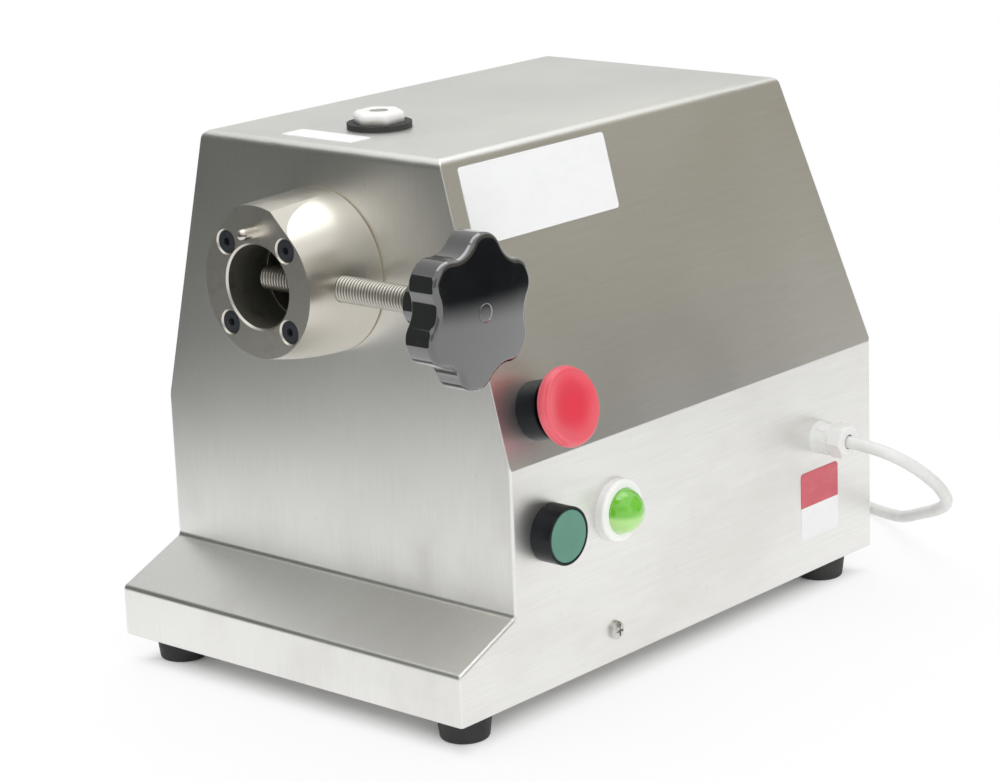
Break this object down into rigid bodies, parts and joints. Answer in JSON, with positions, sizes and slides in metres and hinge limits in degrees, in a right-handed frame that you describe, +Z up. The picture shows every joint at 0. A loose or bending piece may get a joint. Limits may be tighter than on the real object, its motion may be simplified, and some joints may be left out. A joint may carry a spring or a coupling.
{
  "type": "bench-top attachment drive",
  "caption": "Bench-top gear-motor drive in a sloping brushed steel casing, with a clamping attachment socket, star knob, push buttons, pilot lamp, oil plug and mains lead.",
  "frame": {"origin": "on the floor, at the centre of the rectangle of the four feet", "axes": "+X towards the side with the buttons, +Y from the socket to the back, +Z up"},
  "size_m": [0.3211, 0.5023, 0.3065],
  "materials": {
    "stainless": "brushed sheet",
    "polished_steel": "turned and polished",
    "zinc_steel": "zinc plated",
    "black_steel": "black oxide",
    "black_rubber": "moulded",
    "black_gloss": "moulded, glossy",
    "black_plastic": "moulded",
    "red_plastic": "satin",
    "green_plastic": "satin",
    "green_lens": "translucent",
    "lamp_glass": "clear",
    "white_plastic": "moulded",
    "cast_aluminium": "as cast",
    "hardened_steel": "ground",
    "core_steel": "laminated",
    "copper_wire": "enamelled",
    "grey_paint": "sheet, painted",
    "dark_plastic": "moulded",
    "cord_grey": "sheathed",
    "plug_grey": "moulded"
  },
  "bodies": {
    "housing": {"casing": "stainless", "base_plate": "stainless", "socket_body": "polished_steel", "locating_pin": "polished_steel", "casing_screws": "zinc_steel", "foot_fasteners": "zinc_steel", "gearbox_bolts": "zinc_steel", "cradle_screws": "zinc_steel", "capacitor_clip": "zinc_steel", "filler_neck": "zinc_steel", "socket_screws": "black_steel", "rubber_feet": "black_rubber", "filler_washer": "black_rubber", "socket_gasket": "black_rubber", "gearbox_gasket": "black_rubber", "gland_seal": "black_rubber", "oil_seals": "black_rubber", "stop_collar": "black_plastic", "start_bezel": "black_plastic", "panel_nuts": "black_plastic", "stop_switch": "black_plastic", "start_switch": "black_plastic", "pilot_lens": "green_lens", "pilot_lamp": "lamp_glass", "pilot_bezel": "white_plastic", "gland_body": "white_plastic", "gland_nut": "white_plastic", "gland_locknut": "white_plastic", "filler_plug": "white_plastic", "gearbox_case": "cast_aluminium", "gearbox_cover": "cast_aluminium", "motor_housing": "cast_aluminium", "end_shield": "cast_aluminium", "capacitor": "cast_aluminium", "bearing_outer_rings": "hardened_steel", "stator_core": "core_steel", "stator_windings": "copper_wire", "fan_cowl": "grey_paint", "motor_cradle": "grey_paint", "contactor": "dark_plastic", "cord_tie": "dark_plastic", "power_cord": "cord_grey", "cord_tail": "cord_grey", "cord_coil": "cord_grey", "mains_plug": "plug_grey"},
    "output": {"output_shaft": "hardened_steel", "final_gear": "hardened_steel", "output_inner_rings": "hardened_steel"},
    "layshaft": {"layshaft": "hardened_steel", "first_gear": "hardened_steel", "layshaft_inner_rings": "hardened_steel"},
    "rotor": {"rotor_shaft": "hardened_steel", "rotor_core": "core_steel", "motor_fan": "dark_plastic", "rotor_inner_rings": "hardened_steel"},
    "stop_head": {"stop_button": "red_plastic"},
    "start_cap": {"start_button": "green_plastic"},
    "clamp": {"clamp_screw": "polished_steel"},
    "knob": {"clamp_knob": "black_gloss"}
  },
  "joints": [
    {"name": "output_spin", "type": "hinge", "parent": "housing", "child": "output", "pos_m": [0, -0.144, 0.23], "axis": [0, -1, 0], "continuous": true},
    {"name": "layshaft_spin", "type": "hinge", "parent": "housing", "child": "layshaft", "pos_m": [0, -0.1, 0.1738], "axis": [0, -1, 0], "continuous": true},
    {"name": "rotor_spin", "type": "hinge", "parent": "housing", "child": "rotor", "pos_m": [0, -0.08, 0.1256], "axis": [0, -1, 0], "continuous": true},
    {"name": "stop_push", "type": "slide", "parent": "housing", "child": "stop_head", "axis": [-0.969, 0, -0.2469], "range_m": [0, 0.004], "stiffness_N_per_m": 800, "springref_m": -0.002},
    {"name": "start_push", "type": "slide", "parent": "housing", "child": "start_cap", "axis": [-1, 0, 0], "range_m": [0, 0.003], "stiffness_N_per_m": 800, "springref_m": -0.002},
    {"name": "clamp_travel", "type": "slide", "parent": "housing", "child": "clamp", "axis": [-1, 0, 0], "range_m": [-0.0365, 0.007]},
    {"name": "clamp_turn", "type": "hinge", "parent": "clamp", "child": "knob", "pos_m": [0.117, -0.165, 0.23], "axis": [-1, 0, 0], "range_deg": [-6570, 1260]}
  ],
  "couplings": [
    {"joint": "layshaft_spin", "follows": "output_spin", "ratio": -3},
    {"joint": "rotor_spin", "follows": "output_spin", "ratio": 9},
    {"joint": "clamp_travel", "follows": "clamp_turn", "m_per_rad": 0.00031831}
  ]
}
